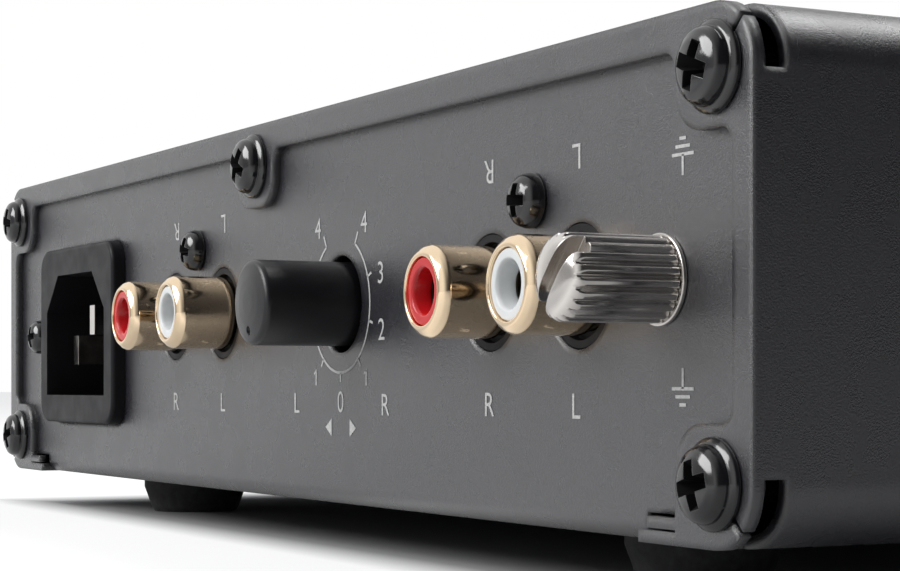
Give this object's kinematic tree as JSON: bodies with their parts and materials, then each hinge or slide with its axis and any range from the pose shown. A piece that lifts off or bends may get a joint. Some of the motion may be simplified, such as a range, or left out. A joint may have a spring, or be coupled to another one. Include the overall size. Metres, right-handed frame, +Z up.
{
  "type": "phono preamp",
  "caption": "Small folded-steel phono preamp with phono sockets, balance knob, ground terminal and mains inlet at the rear.",
  "frame": {"origin": "middle of the outer box, on the surface that the feet stand on", "axes": "+X right seen from the front, +Y out of the socket panel, +Z up"},
  "size_m": [0.188, 0.1474, 0.046],
  "materials": {
    "case_paint": "dark grey powder coat with a fine grain",
    "fascia": "brushed and dark anodised",
    "black_steel": "black nickel",
    "zinc_steel": "zinc plated",
    "foot_rubber": "matt",
    "black_plastic": "moulded",
    "knob_plastic": "satin",
    "nickel": "bright nickel",
    "tin": "tinned",
    "brass_part": "turned",
    "gold": "gold plated",
    "red_plastic": "moulded",
    "white_plastic": "moulded",
    "green_wire": "insulation",
    "black_wire": "insulation",
    "lamp_plastic": "clear tinted",
    "board_green": "solder mask",
    "core_steel": "varnished plates",
    "winding": "taped winding",
    "fuse_glass": "clear",
    "capacitor_sleeve": "shrink sleeve",
    "sink_aluminium": "extruded",
    "film_red": "dipped",
    "resistor_blue": "lacquered"
  },
  "bodies": {
    "chassis": {"case_cover": "case_paint", "base_tray": "case_paint", "front_fascia": "fascia", "cover_screws": "black_steel", "socket_screws": "black_steel", "inlet_screws": "black_steel", "fascia_screws": "zinc_steel", "board_screws": "zinc_steel", "foot_screws": "zinc_steel", "foot_nuts": "zinc_steel", "inlet_nuts": "zinc_steel", "rubber_feet": "foot_rubber", "input_block": "black_plastic", "output_block": "black_plastic", "balance_pot": "zinc_steel", "balance_pot_pins": "tin", "ground_bush": "brass_part", "ground_tag": "tin", "ground_wire": "green_wire", "mains_inlet": "black_plastic", "inlet_pins": "nickel", "mains_wires": "black_wire", "earth_wire": "green_wire", "power_switch": "black_plastic", "power_lamp": "lamp_plastic", "lamp_leads": "tin", "main_board": "board_green", "board_standoffs": "brass_part", "transformer_core": "core_steel", "transformer_bobbin": "winding", "mains_fuse": "fuse_glass", "fuse_clips": "tin", "filter_capacitors": "capacitor_sleeve", "regulators": "black_plastic", "heat_sinks": "sink_aluminium", "rectifier_diodes": "black_plastic", "op_amps": "black_plastic", "film_capacitors": "film_red", "resistors": "resistor_blue", "input_right_shell": "gold", "input_right_contact": "gold", "input_right_insulator": "red_plastic", "input_left_shell": "gold", "input_left_contact": "gold", "input_left_insulator": "white_plastic", "output_right_shell": "gold", "output_right_contact": "gold", "output_right_insulator": "red_plastic", "output_left_shell": "gold", "output_left_contact": "gold", "output_left_insulator": "white_plastic"},
    "balance_control": {"balance_knob": "knob_plastic", "balance_shaft": "nickel"},
    "power_key": {"power_button": "knob_plastic", "switch_plunger": "knob_plastic"},
    "ground_collar": {"ground_washer": "nickel"},
    "ground_thumb_screw": {"ground_screw": "nickel"}
  },
  "joints": [
    {"name": "balance_turn", "type": "hinge", "parent": "chassis", "child": "balance_control", "pos_m": [-0.0206, 0.06345, 0.0257], "axis": [0, 1, 0], "range_deg": [-150, 150]},
    {"name": "power_press", "type": "slide", "parent": "chassis", "child": "power_key", "axis": [0, 1, 0], "range_m": [0, 0.0025], "stiffness_N_per_m": 500, "springref_m": -0.002},
    {"name": "ground_lift", "type": "slide", "parent": "chassis", "child": "ground_collar", "axis": [0, 1, 0], "range_m": [0, 0.0021]},
    {"name": "ground_turn", "type": "hinge", "parent": "ground_collar", "child": "ground_thumb_screw", "pos_m": [-0.0804, 0.06345, 0.0257], "axis": [0, 1, 0], "range_deg": [0, 1080]}
  ],
  "couplings": [
    {"joint": "ground_turn", "follows": "ground_lift", "rad_per_m": 8976}
  ]
}
